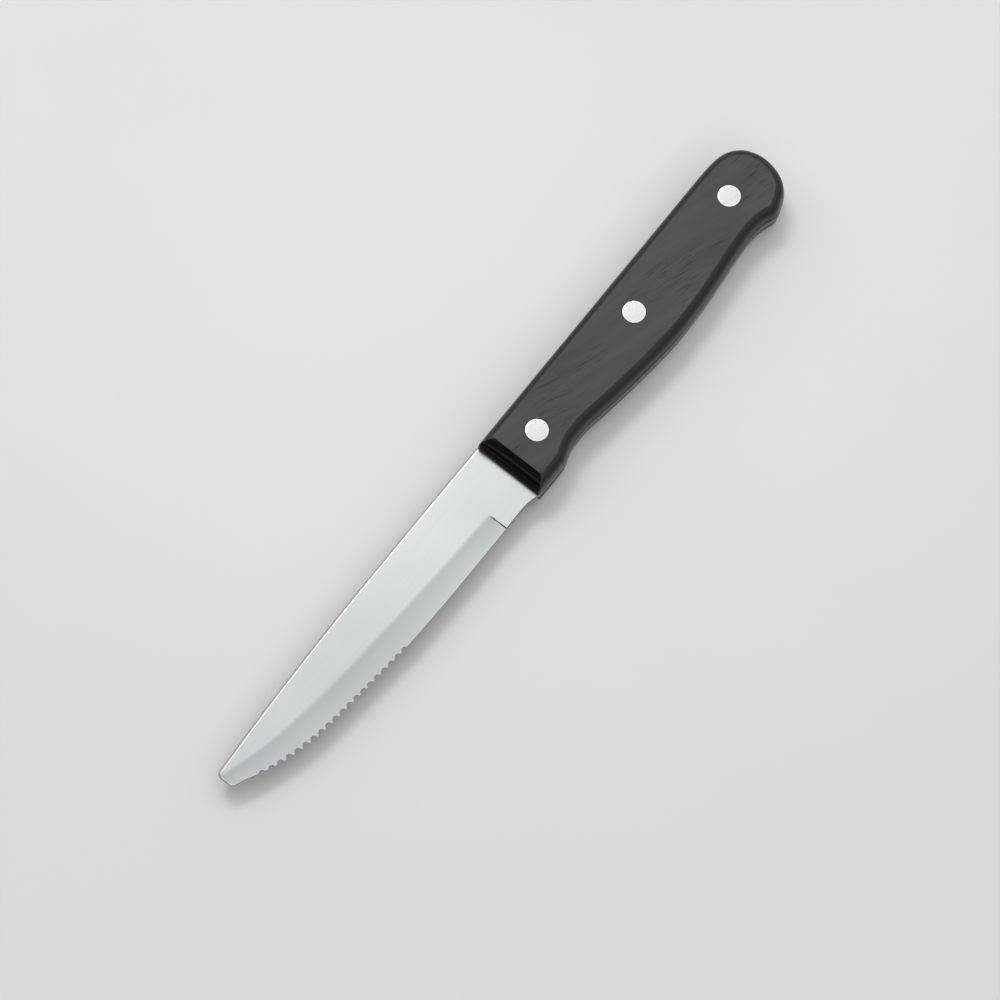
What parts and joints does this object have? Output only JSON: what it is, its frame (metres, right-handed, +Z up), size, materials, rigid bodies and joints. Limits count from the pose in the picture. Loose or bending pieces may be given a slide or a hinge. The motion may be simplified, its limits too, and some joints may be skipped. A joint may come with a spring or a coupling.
{
  "type": "steak knife",
  "caption": "Round-tipped steak knife: part-serrated hollow-ground blade with a full tang between black riveted wood scales with a finger notch.",
  "frame": {"origin": "middle of the knife's bounding outline, on the plane that the lower scale's face rests on", "axes": "+X from the tip to the butt, +Y from the cutting edge to the spine, +Z up from the resting plane"},
  "size_m": [0.251, 0.0268, 0.0131],
  "materials": {
    "blade_steel": "brushed along the blade",
    "stained_wood": "satin, fine-grained",
    "rivet_steel": "satin, ground flush"
  },
  "bodies": {
    "root": {"blade": "blade_steel", "upper_scale": "stained_wood", "lower_scale": "stained_wood", "front_rivet_post": "rivet_steel", "front_rivet_sleeve": "rivet_steel", "middle_rivet_post": "rivet_steel", "middle_rivet_sleeve": "rivet_steel", "rear_rivet_post": "rivet_steel", "rear_rivet_sleeve": "rivet_steel"}
  },
  "joints": []
}
